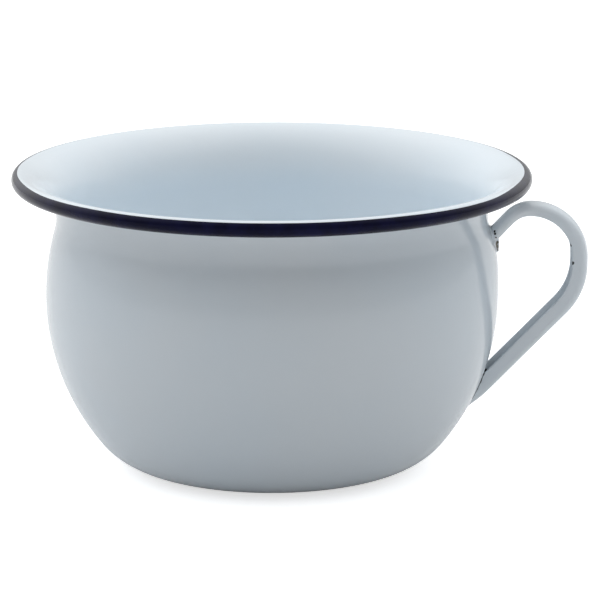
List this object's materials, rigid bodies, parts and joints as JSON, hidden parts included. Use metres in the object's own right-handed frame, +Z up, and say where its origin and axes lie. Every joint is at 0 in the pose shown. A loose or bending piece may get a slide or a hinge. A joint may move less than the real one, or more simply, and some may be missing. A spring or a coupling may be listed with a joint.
{
  "type": "chamber pot",
  "caption": "Enamelled sheet-steel chamber pot with a round belly, a flared lip, a rolled dark rim and a folded strap handle. Stands on its flat base and holds liquid.",
  "frame": {"origin": "middle of the flat base, on the surface that the pot stands on", "axes": "+Z up along the bowl's axis, +X from the bowl's axis towards the handle, +Y away from the viewer"},
  "size_m": [0.2554, 0.23, 0.1325],
  "materials": {
    "bowl_steel": "cold-rolled sheet under enamel",
    "outer_white": "glossy vitreous enamel",
    "inner_white": "glossy vitreous enamel",
    "rim_navy": "glossy vitreous enamel",
    "strap_steel": "cold-rolled strip under enamel",
    "handle_white": "glossy vitreous enamel",
    "weld_steel": "as welded"
  },
  "bodies": {
    "root": {"bowl_pressing": "bowl_steel", "outer_enamel": "outer_white", "inner_enamel": "inner_white", "rim_enamel": "rim_navy", "handle_strap": "strap_steel", "handle_enamel": "handle_white", "upper_weld": "weld_steel", "lower_weld": "weld_steel"}
  },
  "joints": []
}
